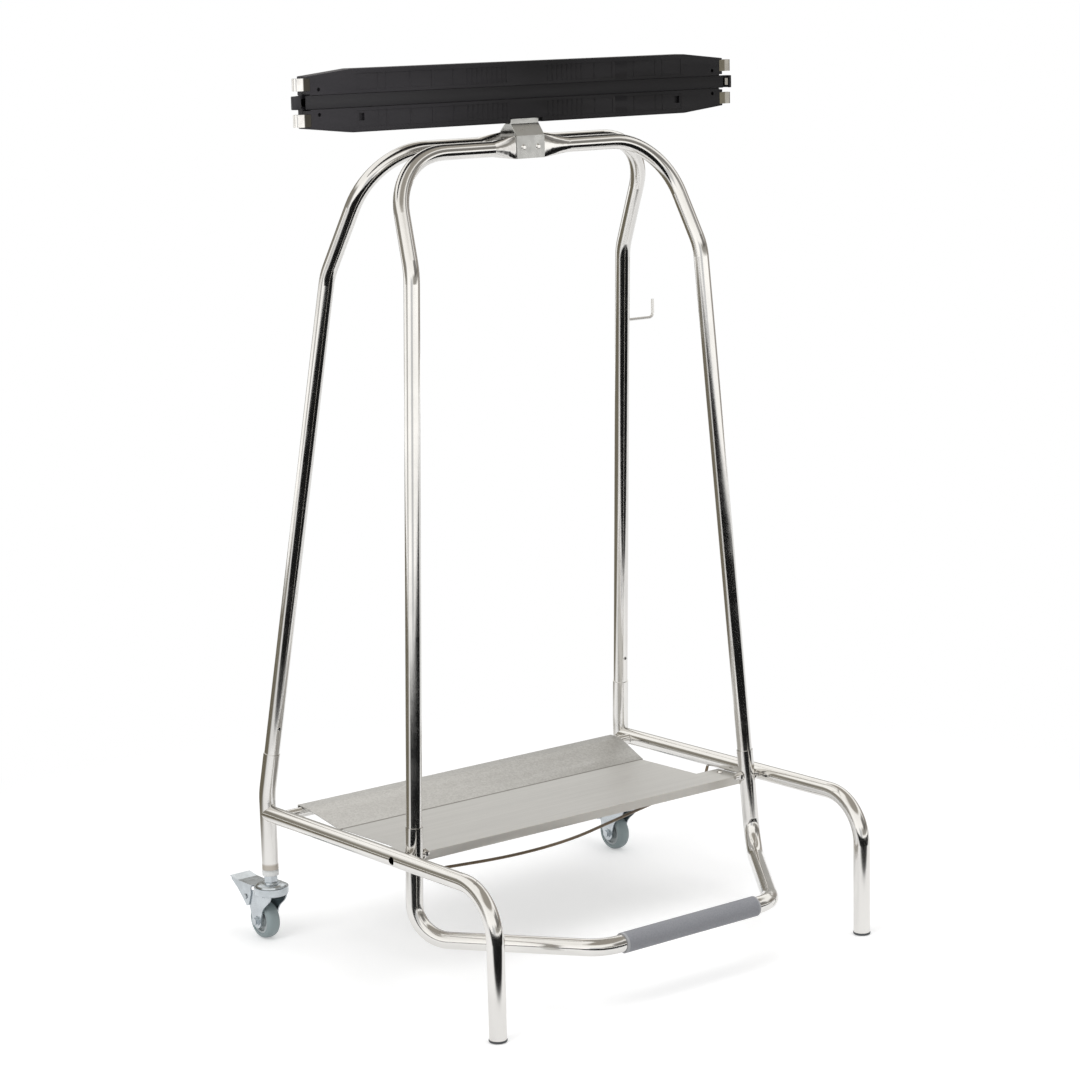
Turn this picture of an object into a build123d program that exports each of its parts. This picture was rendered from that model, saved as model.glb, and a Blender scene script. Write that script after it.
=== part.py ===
from build123d import *
import os

# Pedal-operated bag holder stand. Millimetres, +Z up, the pedal side faces -Y.
# Lengths along Y are set out from midway between the front feet and the rear legs; the
# parts are then moved so that the origin is on the floor under the middle of the stand.

# Tubes
base_od = 22.0
hoop_od = 20.0
cross_od = 14.0
wall = 1.0
plug_clearance = 0.05
weld_gap = 0.02
running_clearance = 0.05

# Centre of the clamp
clamp_y = 55.0
clamp_z = 1107.0

# Base frame
half_width = 300.0
rear_y = 249.0
front_y = -249.0
axis_rear_z = 175.0
axis_front_z = 184.0
foot_bend = 60.0
leg_bend_z = 202.0
cross_y = 221.0

# Front hoop and pedal, turning on the pivot
pivot_y = -51.0
pivot_gap = base_od + 2.0
pivot_bolt_d = 6.0
pedal_z = 80.0
arm_z = 75.0
pedal_y = -252.0
bar_corner_x = 138.5
arm_bend = 45.0
bar_bend = 48.0
sleeve_wall = 2.0
sleeve_od = base_od + 2 * sleeve_wall
sleeve_end_gap = 29.5
sleeve_half = bar_corner_x - sleeve_end_gap
front_seam_z = 216.0
rear_seam_z = 257.0
front_plug = 24.0
rear_plug = 32.0
button_above_seam = 35.0
button_r = 2.5

# Hoop corners: how far in from the base's half-width, y, and how far below the clamp's centre
front_knee_in = 69.0
front_knee_y = -21.0
front_knee_down = 208.0
front_top_in = 88.0
front_top_down = 69.0
rear_knee_in = 60.0
rear_knee_y = 151.0
rear_knee_down = 221.0
rear_top_in = 80.0
rear_top_down = 65.0
top_apart = 15.0
front_knee = (half_width - front_knee_in, front_knee_y, clamp_z - front_knee_down)
front_top = (half_width - front_top_in, clamp_y - top_apart, clamp_z - front_top_down)
rear_knee = (half_width - rear_knee_in, rear_knee_y, clamp_z - rear_knee_down)
rear_top = (half_width - rear_top_in, clamp_y + top_apart, clamp_z - rear_top_down)
knee_bend = 70.0
top_bend = 88.0
flat_half = 24.0
flare = 36.0
flat_thick = 4.0
flat_face = 1.55
rivet_r = 2.0
flat_high = 29.0

# Shelf, a folded sheet hung on the cross tube
sheet = 1.2
fold_y = 146.0
fold_z = 166.0
shelf_front_y = -24.0
shelf_front_z = 171.0
lip_high = 10.0
shelf_gap = 47.0
ear_gap = 8.0
floor_half = half_width - shelf_gap
flange_half = floor_half + 13.0
ear_half = half_width - ear_gap
lip_half = ear_half - 6.0
ear_back_y = 27.0
ear_screw_in = 13.0
ear_screw_y = 8.0

# Bowed wire under the shelf: where its ends meet the side tubes, and its lowest height
wire_d = 4.0
wire_left_y = -26.9
wire_right_y = 52.0
wire_low_z = 150.0
wire_bow_x = -80.0
wire_bow_y = -66.0
wire_bow_r = 400.0

# Bag hook
hook_down = 101.0
hook_reach = 44.1
hook_high = 25.0
hook_d = 4.0

# Clamp of two strips
strip_thick = 9.7
strip_gap = 0.6
strip_half_high = 38.4
strip_end_half_high = 31.3
strip_taper_x = 264.0
strip_end_x = 330.0
hinge_x = 23.0
notch_half = 26.0
notch_high = 5.0
band_high = 16.0
band_thick = 1.5
groove_high = band_high + 1.0
eye_x = strip_end_x + 11.0
eye_y = clamp_y - 5.0
eye_od = 10.5
eye_id = 7.3
bracket_sheet = 1.5
bracket_wide = 44.0
tab_wide = 38.0
rivet_x = 11.6

# Castors. The cup's underside clears the wheel, and the leg ends above the castor's nut
wheel_od = 50.0
wheel_wide = 20.0
trail = 18.0
fork_gap = 23.0
fork_sheet = 2.0
race_od = 46.0
axle_d = 6.0
axle_y = rear_y + trail
axle_z = wheel_od / 2
cup_low = wheel_od + 15.0
cup_high = cup_low + 10.0
nut_low = cup_low + 16.6
nut_high = nut_low + 8.8
socket_collar = 6.4
socket_low = nut_high + 0.2
leg_bottom_z = socket_low + socket_collar + 2.0
lever_y = axle_y + 23.0
lever_z = axle_z + 29.0
lever_tip_y = lever_y + 37.0

# The stand reaches from the front of the foot sleeve to the tips of the brake levers
origin_y = (lever_tip_y + pedal_y - sleeve_od / 2) / 2

def base_axis_z(y):
    """Height of a side tube's axis, which rises slightly towards the front."""
    return axis_rear_z + (rear_y - y) / (rear_y - front_y) * (axis_front_z - axis_rear_z)


pivot_z = base_axis_z(pivot_y)
pivot_x = half_width - pivot_gap
cross_z = base_axis_z(cross_y)


def along(a, b, z):
    """Point at height z on the line from a to b."""
    t = (z - a[2]) / (b[2] - a[2])
    return tuple(a[i] + t * (b[i] - a[i]) for i in range(3))


def sided(side, p):
    """Point p carried to one side, -1 left and 1 right."""
    return (side * p[0], p[1], p[2])


def export(part, name):
    """Moves a part so that the origin is under the middle of the stand, and writes it."""
    placed = part.moved(Location((0, -origin_y, 0)))
    placed.label = name
    export_step(placed, f"parts/{name}.step")


os.makedirs("parts", exist_ok=True)

front_line = ((pivot_x, pivot_y, pivot_z), front_knee)
rear_line = ((half_width, rear_y, leg_bend_z), rear_knee)
front_seam = along(*front_line, front_seam_z)
rear_seam = along(*rear_line, rear_seam_z)
arm_corner = along(*front_line, arm_z)
SIDES = {"left": -1, "right": 1}


# Side tubes: one bent tube a side, from the rear leg to the front foot
cap_high = 3.0
for name, s in SIDES.items():
    with BuildPart() as side_tube:
        with BuildLine() as route:
            FilletPolyline(
                (s * half_width, rear_y, axis_rear_z),
                (s * half_width, front_y, axis_front_z),
                (s * half_width, front_y, cap_high),
                radius=foot_bend,
            )
        with BuildSketch(Plane(origin=route.line @ 0, z_dir=route.line % 0)):
            Circle(base_od / 2)
            Circle(base_od / 2 - wall, mode=Mode.SUBTRACT)
        sweep()
        # The rear end is coped to the leg
        with BuildSketch(Plane.XY.offset(axis_rear_z - 30)):
            with Locations((s * half_width, rear_y)):
                Circle(base_od / 2 + weld_gap)
        extrude(amount=60, mode=Mode.SUBTRACT)
        # Access hole outside and bolt hole inside, on the pivot's axis
        with BuildSketch(Plane(origin=(s * half_width, pivot_y, pivot_z), z_dir=(s, 0, 0))):
            Circle(5.2)
        extrude(amount=base_od, mode=Mode.SUBTRACT)
        with BuildSketch(Plane(origin=(s * half_width, pivot_y, pivot_z), z_dir=(-s, 0, 0))):
            Circle(pivot_bolt_d / 2 + running_clearance)
        extrude(amount=base_od, mode=Mode.SUBTRACT)
    export(side_tube.part, f"side_tube_{name}")

# Foot caps
for name, s in SIDES.items():
    with BuildPart() as cap:
        with BuildSketch(Plane.XY):
            with Locations((s * half_width, front_y)):
                Circle(base_od / 2 + 0.4)
        extrude(amount=cap_high - 0.05)
        fillet(cap.edges().group_by(Axis.Z)[0], radius=1.2)
        with BuildSketch(Plane.XY.offset(cap_high - 0.05)):
            with Locations((s * half_width, front_y)):
                Circle(base_od / 2 - wall - 0.1)
        extrude(amount=14)
    export(cap.part, f"foot_cap_{name}")

# Rear legs: a stub that carries the castor below and takes the hoop above
for name, s in SIDES.items():
    with BuildPart() as leg:
        with BuildLine() as route:
            FilletPolyline(
                (s * half_width, rear_y, leg_bottom_z),
                (s * half_width, rear_y, leg_bend_z),
                sided(s, rear_seam),
                radius=120.0,
            )
        with BuildSketch(Plane(origin=route.line @ 0, z_dir=route.line % 0)):
            Circle(base_od / 2)
            Circle(base_od / 2 - wall, mode=Mode.SUBTRACT)
        sweep()
    export(leg.part, f"rear_leg_{name}")

# Cross tube between the side tubes, just ahead of the rear legs
with BuildPart() as cross_tube:
    with BuildSketch(Plane.YZ.offset(-half_width)):
        with Locations((cross_y, cross_z)):
            Circle(cross_od / 2)
            Circle(cross_od / 2 - wall, mode=Mode.SUBTRACT)
    extrude(amount=2 * half_width)
    for s in (-1, 1):
        with BuildSketch(Plane.XZ.offset(-cross_y - 20)):
            with Locations((s * half_width, cross_z)):
                Circle(base_od / 2 + 0.3)
        extrude(amount=40, mode=Mode.SUBTRACT)
export(cross_tube.part, "cross_tube")


def hoop_end(s, seam, knee, top, plug_length):
    """One side of a hoop: plug end, knee, top corner and half of the top bar."""
    plug = along(seam, knee, seam[2] - plug_length)
    with BuildPart() as half:
        with BuildLine() as route:
            FilletPolyline(
                sided(s, plug),
                sided(s, knee),
                sided(s, top),
                (s * (flat_half + flare), top[1], top[2]),
                radius=(knee_bend, top_bend),
            )
        with BuildSketch(Plane(origin=route.line @ 0, z_dir=route.line % 0)):
            Circle(hoop_od / 2)
            Circle(hoop_od / 2 - wall, mode=Mode.SUBTRACT)
        sweep()
    return half.part


def hoop(seam, knee, top, plug_length, button_line=None):
    """A bent tube hoop whose top is pressed flat in the middle."""
    left = hoop_end(-1, seam, knee, top, plug_length)
    right = hoop_end(1, seam, knee, top, plug_length)
    with BuildPart() as whole:
        for s in (-1, 1):
            for part_of_way in (0.0, 0.5, 1.0):
                x = s * (flat_half + flare * (1 - part_of_way))
                ease = part_of_way * part_of_way * (3 - 2 * part_of_way)
                high = hoop_od + (flat_high - hoop_od) * ease
                thick = hoop_od + (flat_thick - hoop_od) * ease
                with BuildSketch(Plane(origin=(x, top[1], top[2]), x_dir=(0, 0, 1), z_dir=(1, 0, 0))):
                    if part_of_way == 0:
                        Circle(hoop_od / 2)
                    else:
                        Ellipse(high / 2, thick / 2)
            loft()
        with BuildSketch(Plane(origin=(-flat_half, top[1], top[2]), x_dir=(0, 0, 1), z_dir=(1, 0, 0))):
            Ellipse(flat_high / 2, flat_thick / 2)
        extrude(amount=2 * flat_half)
        # Flats where the bracket lies, and holes for its rivets
        for s in (-1, 1):
            with Locations((0, top[1] + s * (flat_face + 1.0), top[2])):
                Box(2 * flat_half - 2, 2.0, flat_high + 2, mode=Mode.SUBTRACT)
        with BuildSketch(Plane.XZ.offset(-top[1] - 10)):
            with Locations((-rivet_x, top[2]), (rivet_x, top[2])):
                Circle(rivet_r + running_clearance)
        extrude(amount=20, mode=Mode.SUBTRACT)
        add(left)
        add(right)
        # Holes in the front of the tube for the locking buttons
        if button_line:
            spot = along(*button_line, seam[2] + button_above_seam)
            with BuildSketch(Plane.XZ.offset(-spot[1] + 2.0)):
                with Locations((-spot[0], spot[2]), (spot[0], spot[2])):
                    Circle(button_r + running_clearance)
            extrude(amount=hoop_od, mode=Mode.SUBTRACT)
    return whole.part


export(hoop(rear_seam, rear_knee, rear_top, rear_plug, rear_line), "rear_hoop")
export(hoop(front_seam, front_knee, front_top, front_plug), "front_hoop")


# Pedal tube: two uprights, two arms that run forward and inward, and the foot bar
with BuildPart() as pedal_tube:
    with BuildLine() as route:
        FilletPolyline(
            sided(-1, front_seam),
            sided(-1, arm_corner),
            (-bar_corner_x, pedal_y, pedal_z),
            (bar_corner_x, pedal_y, pedal_z),
            arm_corner,
            front_seam,
            radius=(arm_bend, bar_bend, bar_bend, arm_bend),
        )
    with BuildSketch(Plane(origin=route.line @ 0, z_dir=route.line % 0)):
        Circle(base_od / 2)
        Circle(base_od / 2 - wall, mode=Mode.SUBTRACT)
    sweep()
    bush_od = 10.0
    for s in (-1, 1):
        with BuildSketch(Plane.YZ.offset(s * pivot_x)):
            with Locations((pivot_y, pivot_z)):
                Circle(bush_od / 2 + weld_gap)
        extrude(amount=base_od, both=True, mode=Mode.SUBTRACT)
export(pedal_tube.part, "pedal_tube")

# Bushes welded through the uprights, on the pivot's axis
bush_half = base_od / 2 + 0.8
with BuildPart() as pivot_bushes:
    for s in (-1, 1):
        with BuildSketch(Plane.YZ.offset(s * pivot_x)):
            with Locations((pivot_y, pivot_z)):
                Circle(bush_od / 2)
                Circle(pivot_bolt_d / 2 + running_clearance, mode=Mode.SUBTRACT)
        extrude(amount=bush_half, both=True)
export(pivot_bushes.part, "pivot_bushes")

# Pivot bolts: the head sits inside the side tube, behind its access hole
head_seat_x = half_width - (base_od / 2 - 2.3)
tail_x = pivot_x - bush_half - 8.6
with BuildPart() as pivot_bolts:
    for s in (-1, 1):
        with BuildSketch(Plane(origin=(s * head_seat_x, pivot_y, pivot_z), z_dir=(s, 0, 0))):
            Circle(4.8)
        extrude(amount=3.6)
        with BuildSketch(Plane(origin=(s * (head_seat_x + 3.6), pivot_y, pivot_z), z_dir=(-s, 0, 0))):
            RegularPolygon(2.5, 6)
        extrude(amount=2.0, mode=Mode.SUBTRACT)
        with BuildSketch(Plane(origin=(s * head_seat_x, pivot_y, pivot_z), z_dir=(-s, 0, 0))):
            Circle(pivot_bolt_d / 2)
        extrude(amount=head_seat_x - tail_x)
export(pivot_bolts.part, "pivot_bolts")

with BuildPart() as pivot_washers:
    for s in (-1, 1):
        for start, thick in ((pivot_x + bush_half + 0.1, 1.0), (pivot_x - bush_half - 1.5, 1.4)):
            with BuildSketch(Plane(origin=(s * start, pivot_y, pivot_z), z_dir=(s, 0, 0))):
                Circle(pivot_bolt_d / 2 + 4.0)
                Circle(pivot_bolt_d / 2 + 0.1, mode=Mode.SUBTRACT)
            extrude(amount=thick)
export(pivot_washers.part, "pivot_washers")

nut_x = pivot_x - bush_half - 1.6
with BuildPart() as pivot_nuts:
    for s in (-1, 1):
        with BuildSketch(Plane(origin=(s * nut_x, pivot_y, pivot_z), z_dir=(-s, 0, 0))):
            RegularPolygon(5.6, 6)
        extrude(amount=4.6)
        with BuildSketch(Plane(origin=(s * (nut_x - 4.6), pivot_y, pivot_z), z_dir=(-s, 0, 0))):
            Circle(4.4)
        extrude(amount=3.4, taper=22)
        with BuildSketch(Plane(origin=(s * nut_x, pivot_y, pivot_z), z_dir=(-s, 0, 0))):
            Circle(pivot_bolt_d / 2 + 0.05)
        extrude(amount=7.2, mode=Mode.SUBTRACT)
export(pivot_nuts.part, "pivot_nuts")

# Foot sleeve on the bar
with BuildPart() as pedal_sleeve:
    with BuildSketch(Plane.YZ.offset(-sleeve_half)):
        with Locations((pedal_y, pedal_z)):
            Circle(sleeve_od / 2)
            Circle(base_od / 2 + 0.05, mode=Mode.SUBTRACT)
    extrude(amount=2 * sleeve_half)
    chamfer(pedal_sleeve.edges().filter_by(GeomType.CIRCLE).sort_by(SortBy.RADIUS)[-2:], length=0.6)
export(pedal_sleeve.part, "pedal_sleeve")

# Buttons that lock the hoops, seen just above the rear seams
with BuildPart() as hoop_buttons:
    for s in (-1, 1):
        spot = along(*rear_line, rear_seam_z + button_above_seam)
        with BuildSketch(Plane.XZ.offset(-spot[1] + hoop_od / 2 - 2.5)):
            with Locations((s * spot[0], spot[2])):
                Circle(button_r)
        extrude(amount=3.4)
        fillet(hoop_buttons.faces().sort_by(Axis.Y)[0].edges(), radius=0.6)
export(hoop_buttons.part, "hoop_buttons")

# Shelf: floor, sloping back flange and a hook over the cross tube, folded from one sheet
hook_top = cross_z + cross_od / 2 + 0.2 + sheet / 2
hook_back = cross_y + cross_od / 2 + 0.3 + sheet / 2
slope_top_y = cross_y - 12.0
lip_z = shelf_front_z - lip_high
with BuildPart() as shelf:
    with BuildSketch(Plane.YZ.offset(-ear_half)):
        with BuildLine() as fold:
            Polyline(
                (shelf_front_y + 8, lip_z),
                (shelf_front_y, lip_z),
                (shelf_front_y, shelf_front_z),
                (fold_y, fold_z),
                (slope_top_y, hook_top),
                (hook_back, hook_top),
                (hook_back, hook_top - 12),
            )
        trace(line_width=sheet)
    extrude(amount=2 * ear_half)
    # Side cuts: the hook and flange taper in to the floor, whose front ends carry ears
    for s in (-1, 1):
        with BuildSketch(Plane.XY.offset(lip_z - 10)):
            with BuildLine():
                Polyline(
                    (s * (ear_half + 2), hook_back + 3),
                    (s * flange_half, hook_back + 3),
                    (s * flange_half, slope_top_y),
                    (s * (floor_half + 3), fold_y),
                    (s * floor_half, fold_y - 1),
                    (s * floor_half, ear_back_y),
                    (s * (ear_half + 2), ear_back_y),
                    close=True,
                )
            make_face()
        extrude(amount=hook_top - lip_z + 20, mode=Mode.SUBTRACT)
        with BuildSketch(Plane.XY.offset(lip_z - 5)):
            with Locations((s * (lip_half + 30), shelf_front_y + 4.5)):
                Rectangle(60, 13.0)
        extrude(amount=lip_high + 5 - sheet, mode=Mode.SUBTRACT)
        with BuildSketch(Plane.XY.offset(lip_z - 5)):
            with Locations((s * (lip_half + 30), shelf_front_y)):
                Rectangle(60, 2 * sheet)
        extrude(amount=lip_high + 20, mode=Mode.SUBTRACT)
    # Screw holes in the ears
    screw_x = ear_half - ear_screw_in
    screw_y = ear_screw_y
    screw_d = 4.0
    with BuildSketch(Plane.XY.offset(lip_z)):
        with Locations((-screw_x, screw_y), (screw_x, screw_y)):
            Circle(screw_d / 2 + 0.1)
    extrude(amount=lip_high + 20, mode=Mode.SUBTRACT)
export(shelf.part, "shelf")

# Lugs welded to the side tubes under the ears, and their screws
ear_z = shelf_front_z - (screw_y - shelf_front_y) / (fold_y - shelf_front_y) * (shelf_front_z - fold_z)
lug_top = ear_z - sheet / 2 - 0.7
with BuildPart() as shelf_lugs:
    for s in (-1, 1):
        with BuildSketch(Plane.XY.offset(lug_top - 2.0)):
            with Locations((s * (half_width - base_od / 2 - 8.0), screw_y)):
                Rectangle(26, 20)
            with Locations((s * screw_x, screw_y)):
                Circle(screw_d / 2 + 0.1, mode=Mode.SUBTRACT)
        extrude(amount=2.0)
export(shelf_lugs.part, "shelf_lugs")

with BuildPart() as shelf_screws:
    for s in (-1, 1):
        with BuildSketch(Plane.XY.offset(lug_top - 4.0)):
            with Locations((s * screw_x, screw_y)):
                Circle(screw_d / 2)
        extrude(amount=ear_z + 1.2 - lug_top + 4.0)
        with BuildSketch(Plane.XY.offset(ear_z + 1.0)):
            with Locations((s * screw_x, screw_y)):
                Circle(4.0)
        extrude(amount=2.4, taper=28)
        with BuildSketch(Plane.XY.offset(lug_top - 5.4)):
            with Locations((s * screw_x, screw_y)):
                RegularPolygon(4.0, 6)
        extrude(amount=3.2)
export(shelf_screws.part, "shelf_screws")

# Bowed spring wire under the shelf
wire_left_x = half_width - base_od / 2 - 0.6
wire_left_z = base_axis_z(wire_left_y) - 6.6
wire_right_x = half_width - 5.3
wire_right_z = base_axis_z(wire_right_y) - base_od / 2 + 0.8
with BuildPart() as spring_wire:
    with BuildLine() as route:
        FilletPolyline(
            (-wire_left_x, wire_left_y, wire_left_z),
            (-wire_left_x + 7.0, wire_left_y - 0.3, wire_low_z + 14.5),
            (-half_width + 62.0, wire_left_y - 9.0, wire_low_z + 1.0),
            (wire_bow_x, wire_bow_y, wire_low_z),
            (wire_right_x - 9.6, wire_right_y - 3.0, wire_low_z),
            (wire_right_x, wire_right_y, wire_right_z),
            radius=(5, 40, wire_bow_r, 8),
        )
    with BuildSketch(Plane(origin=route.line @ 0, z_dir=route.line % 0)):
        Circle(wire_d / 2)
    sweep()
export(spring_wire.part, "spring_wire")

# Bag hook on the right rear upright
hook_z = rear_knee[2] - hook_down
hook_root = along(*rear_line, hook_z)
hook_foot_x = hook_root[0] + hoop_od / 2 + 0.25
hook_tip_x = hook_root[0] + hoop_od / 2 + hook_reach
with BuildPart() as bag_hook:
    with BuildLine() as route:
        FilletPolyline(
            (hook_foot_x, hook_root[1], hook_z),
            (hook_tip_x, hook_root[1], hook_z),
            (hook_tip_x, hook_root[1], hook_z + hook_high),
            radius=6,
        )
    with BuildSketch(Plane(origin=route.line @ 0, z_dir=route.line % 0)):
        Circle(hook_d / 2)
    sweep()
export(bag_hook.part, "bag_hook")

# Brackets: folded steel from the flat of a hoop up into its strip
tab_y_front = clamp_y - strip_gap / 2 - strip_thick / 2 - 0.25
notch_z = clamp_z - strip_half_high + notch_high
tab_top = notch_z + 6.0
tab_fold_z = clamp_z - strip_half_high - 1.5
BRACKETS = {"front": (front_top, -1), "rear": (rear_top, 1)}
for name, (top, f) in BRACKETS.items():
    plate_y = top[1] + f * (flat_face + weld_gap + bracket_sheet / 2)
    tab_y = clamp_y + f * (clamp_y - tab_y_front)
    fold_low = top[2] + 14.3
    with BuildPart() as bracket:
        with BuildSketch(Plane.YZ.offset(-bracket_wide / 2)):
            with BuildLine():
                Polyline(
                    (plate_y, fold_low - 28.5),
                    (plate_y, fold_low),
                    (tab_y, tab_fold_z),
                    (tab_y, tab_top),
                )
            trace(line_width=bracket_sheet)
        extrude(amount=bracket_wide)
        for s in (-1, 1):
            with BuildSketch(Plane.XZ.offset(-clamp_y - 30)):
                with BuildLine():
                    Polyline(
                        (s * tab_wide / 2, tab_top + 2),
                        (s * tab_wide / 2, notch_z - 0.6),
                        (s * (bracket_wide / 2 + 0.01), notch_z - 0.6),
                        (s * (bracket_wide / 2 + 5), tab_top + 2),
                        close=True,
                    )
                make_face()
            extrude(amount=60, mode=Mode.SUBTRACT)
        with BuildSketch(Plane.XZ.offset(-top[1] - 10)):
            with Locations((-rivet_x, top[2]), (rivet_x, top[2])):
                Circle(rivet_r + running_clearance)
        extrude(amount=20, mode=Mode.SUBTRACT)
    export(bracket.part, f"{name}_bracket")
    with BuildPart() as rivets:
        for x in (-rivet_x, rivet_x):
            near = top[1] + f * (flat_face + bracket_sheet + 2 * weld_gap)
            far = top[1] - f * (flat_face + weld_gap)
            with BuildSketch(Plane(origin=(x, near, top[2]), z_dir=(0, f, 0))):
                Circle(3.6)
            extrude(amount=2.2, taper=35)
            with BuildSketch(Plane(origin=(x, far, top[2]), z_dir=(0, -f, 0))):
                Circle(3.2)
            extrude(amount=1.6, taper=35)
            with BuildSketch(Plane(origin=(x, far, top[2]), z_dir=(0, f, 0))):
                Circle(rivet_r)
            extrude(amount=abs(near - far))
    export(rivets.part, f"{name}_rivets")

# Clamp strips. Each has a middle block on its bracket and two halves hinged to it
eye_low = 14.0
eye_high = 29.0
leaf = 1.2
leaf_seat = 5.0
knuckle_room = 5.0
for name, f in (("front", -1), ("rear", 1)):
    inner = clamp_y + f * strip_gap / 2
    outer = inner + f * strip_thick
    out_dir = (0, f, 0)
    tab_y = clamp_y + f * (clamp_y - tab_y_front)
    face_plane = Plane(origin=(0, inner, clamp_z), x_dir=(1, 0, 0), z_dir=(0, -1, 0))
    with BuildPart() as block:
        with BuildSketch(face_plane):
            Rectangle(2 * hinge_x - 0.3, 2 * strip_half_high)
        extrude(amount=-f * strip_thick)
        fillet(block.faces().sort_by(Axis.Y)[0 if f < 0 else -1].edges().filter_by(Axis.X), radius=1.2)
        with Locations((0, outer, clamp_z)):
            Box(100, 2 * (band_thick - 0.05), groove_high, mode=Mode.SUBTRACT)
        # Notch that shows the bracket, and a pocket for its tab with room for the frame's tilt
        with Locations((0, clamp_y, notch_z - 10)):
            Box(2 * notch_half, 60, 20, mode=Mode.SUBTRACT)
        pocket_low = 2.9 if f < 0 else 1.2
        with Locations((0, tab_y + f * (pocket_low - 1.2) / 2, (notch_z - 2 + tab_top + 1.0) / 2)):
            Box(tab_wide + 1.4, 1.1 + pocket_low, tab_top + 1.0 - notch_z + 2, mode=Mode.SUBTRACT)
    export(block.part, f"{name}_clamp_middle")
    with BuildPart() as middle_band:
        with Locations((0, outer - f * (band_thick - 0.3) / 2, clamp_z)):
            Box(2 * hinge_x - 0.3, band_thick - 0.1, band_high)
    export(middle_band.part, f"{name}_band_middle")

    for side, s in SIDES.items():
        with BuildPart() as strip:
            with BuildSketch(face_plane):
                with BuildLine():
                    Polyline(
                        (s * (hinge_x + 0.15), -strip_half_high),
                        (s * strip_taper_x, -strip_half_high),
                        (s * strip_end_x, -strip_end_half_high),
                        (s * strip_end_x, strip_end_half_high),
                        (s * strip_taper_x, strip_half_high),
                        (s * (hinge_x + 0.15), strip_half_high),
                        close=True,
                    )
                make_face()
            extrude(amount=-f * strip_thick)
            rim_face = strip.faces().sort_by(Axis.Y)[0 if f < 0 else -1]
            rim_edges = rim_face.edges().filter_by(lambda e: e.length > 60)
            rim_edges = [e for e in rim_edges if abs(e.center().X) > hinge_x + 5]
            fillet([e for e in rim_edges if abs(e.center().X) < strip_end_x - 1], radius=1.2)
            with Locations((s * (strip_end_x + 10) / 2, outer, clamp_z)):
                Box(strip_end_x + 10, 2 * (band_thick - 0.05), groove_high, mode=Mode.SUBTRACT)
            with Locations((0, clamp_y, notch_z - 10)):
                Box(2 * notch_half, 60, 20, mode=Mode.SUBTRACT)
            # Moulded panels above and below the band
            panel_mid = (hinge_x + strip_taper_x) / 2
            for low, high in ((hinge_x + 7, panel_mid - 2), (panel_mid + 2, strip_taper_x - 6)):
                for v in (-1, 1):
                    with Locations((s * (low + high) / 2, outer, clamp_z + v * 22.5)):
                        Box(high - low, 1.0, 20.0, mode=Mode.SUBTRACT)
            # Holes near the end, and the square pocket by the taper
            with BuildSketch(Plane(origin=(0, outer, clamp_z), x_dir=(1, 0, 0), z_dir=(0, -1, 0))):
                with Locations((s * (strip_end_x - 17.5), 15), (s * (strip_end_x - 17.5), -15)):
                    Circle(2.4)
                with Locations((s * (strip_taper_x - 13), -20)):
                    Rectangle(8, 9)
            extrude(amount=f * 4.0, mode=Mode.SUBTRACT)
            # Seats for the steel end plates, and room at the front strip's end for the rear eye
            if f < 0:
                with Locations((s * strip_end_x, clamp_y, clamp_z)):
                    Box(2 * knuckle_room, 60, groove_high + 3.0, mode=Mode.SUBTRACT)
                for v in (-1, 1):
                    seat_z = clamp_z + v * (eye_low + eye_high) / 2
                    seat_high = eye_high - eye_low + 0.4
                    with Locations((s * strip_end_x, outer, seat_z)):
                        Box(2 * leaf_seat + 0.6, 2 * (leaf + 0.05), seat_high, mode=Mode.SUBTRACT)
            else:
                with Locations((s * (strip_end_x - 9), inner, clamp_z)):
                    Box(18.2, 2 * (leaf + 0.05), 9.4, mode=Mode.SUBTRACT)
        export(strip.part, f"{name}_strip_{side}")

        with BuildPart() as plate:
            if f < 0:
                for v in (-1, 1):
                    low = clamp_z + (eye_low if v > 0 else -eye_high)
                    with BuildSketch(Plane.XY.offset(low)):
                        with Locations((s * eye_x, eye_y)):
                            Circle(eye_od / 2)
                        leaf_x = (eye_x + strip_end_x - leaf_seat) / 2
                        with Locations((s * leaf_x, eye_y - eye_od / 2 + leaf / 2)):
                            Rectangle(eye_x - strip_end_x + leaf_seat, leaf)
                        with Locations((s * eye_x, eye_y)):
                            Circle(eye_id / 2, mode=Mode.SUBTRACT)
                    extrude(amount=eye_high - eye_low)
            else:
                with BuildSketch(Plane.XY.offset(clamp_z - 4.5)):
                    with Locations((s * eye_x, eye_y)):
                        Circle(eye_od / 2)
                    with BuildLine():
                        Polyline(
                            (s * eye_x, eye_y + 2),
                            (s * (eye_x - 0.5), eye_y + eye_od / 2),
                            (s * (strip_end_x + 0.4), inner + leaf),
                            (s * (strip_end_x - 17), inner + leaf),
                            (s * (strip_end_x - 17), inner),
                            (s * (strip_end_x + 0.4), inner),
                            (s * (strip_end_x + 0.4), eye_y + 2),
                            close=True,
                        )
                    make_face()
                    with Locations((s * eye_x, eye_y)):
                        Circle(eye_id / 2, mode=Mode.SUBTRACT)
                extrude(amount=9.0)
        export(plate.part, f"{name}_end_plate_{side}")

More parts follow.
